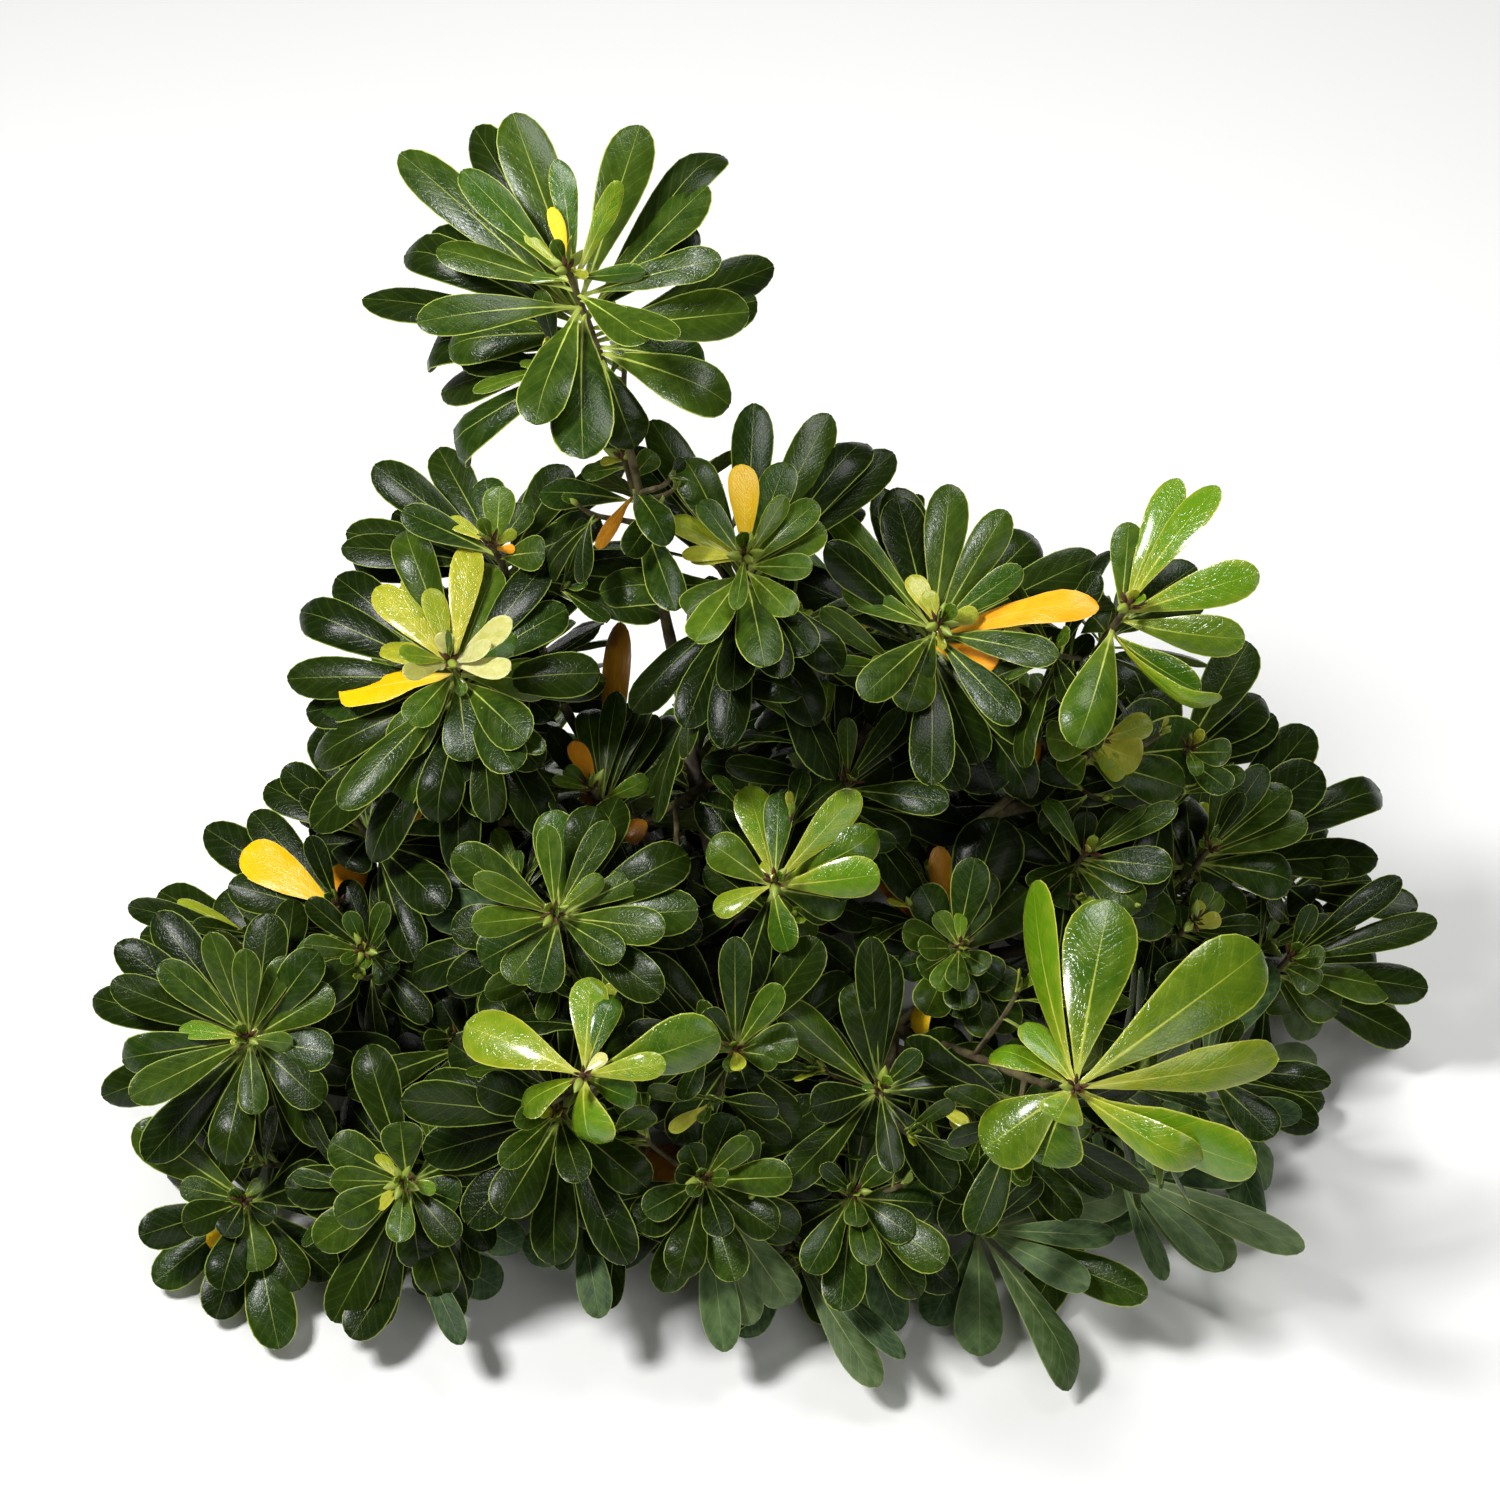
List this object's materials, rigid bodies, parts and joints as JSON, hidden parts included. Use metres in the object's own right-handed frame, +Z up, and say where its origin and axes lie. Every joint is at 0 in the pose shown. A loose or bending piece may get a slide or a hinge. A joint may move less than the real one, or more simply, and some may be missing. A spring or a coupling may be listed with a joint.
{
  "type": "pittosporum shrub",
  "caption": "Rounded evergreen shrub rooted in the ground, with whorls of spoon-shaped leathery leaves at the shoot tips and one taller leading shoot.",
  "frame": {"origin": "middle of the flat cut under the trunk, at ground level", "axes": "+Z up, +X along the crown's widest way, -Y towards the side that the picture shows"},
  "size_m": [0.7765, 0.5623, 0.604],
  "materials": {
    "bark": "rough grey-brown bark",
    "leaf_dark": "leathery, glossy dark green",
    "leaf_middling": "leathery, glossy green",
    "leaf_bright": "leathery, glossy yellow-green",
    "leaf_dusty": "leathery, dull grey-green"
  },
  "bodies": {
    "root": {"trunk": "bark", "bough_leader": "bark", "bough_back_left": "bark", "bough_left_crown": "bark", "bough_centre_crown": "bark", "bough_right_crown": "bark", "bough_right_sprig": "bark", "bough_right_dark": "bark", "bough_right_low": "bark", "bough_front_right": "bark", "bough_centre_front": "bark", "bough_left_centre": "bark", "bough_left_front": "bark", "bough_left_back": "bark", "bough_bright_front": "bark", "bough_front": "bark", "bough_front_left": "bark", "bough_low_right": "bark", "bough_back": "bark", "bough_back_right": "bark", "bough_back_left_low": "bark", "bough_back_low": "bark", "foliage_leader": "leaf_dark", "foliage_back_left": "leaf_dark", "foliage_left_crown": "leaf_middling", "foliage_centre_crown": "leaf_middling", "foliage_right_crown": "leaf_middling", "foliage_right_sprig": "leaf_bright", "foliage_right_dark": "leaf_dark", "foliage_right_low": "leaf_dusty", "foliage_front_right": "leaf_bright", "foliage_centre_front": "leaf_bright", "foliage_left_centre": "leaf_middling", "foliage_left_front": "leaf_middling", "foliage_left_back": "leaf_dark", "foliage_bright_front": "leaf_bright", "foliage_front": "leaf_middling", "foliage_front_left": "leaf_middling", "foliage_low_right": "leaf_dusty", "foliage_back": "leaf_dark", "foliage_back_right": "leaf_dark", "foliage_back_left_low": "leaf_dark", "foliage_back_low": "leaf_dark"}
  },
  "joints": []
}
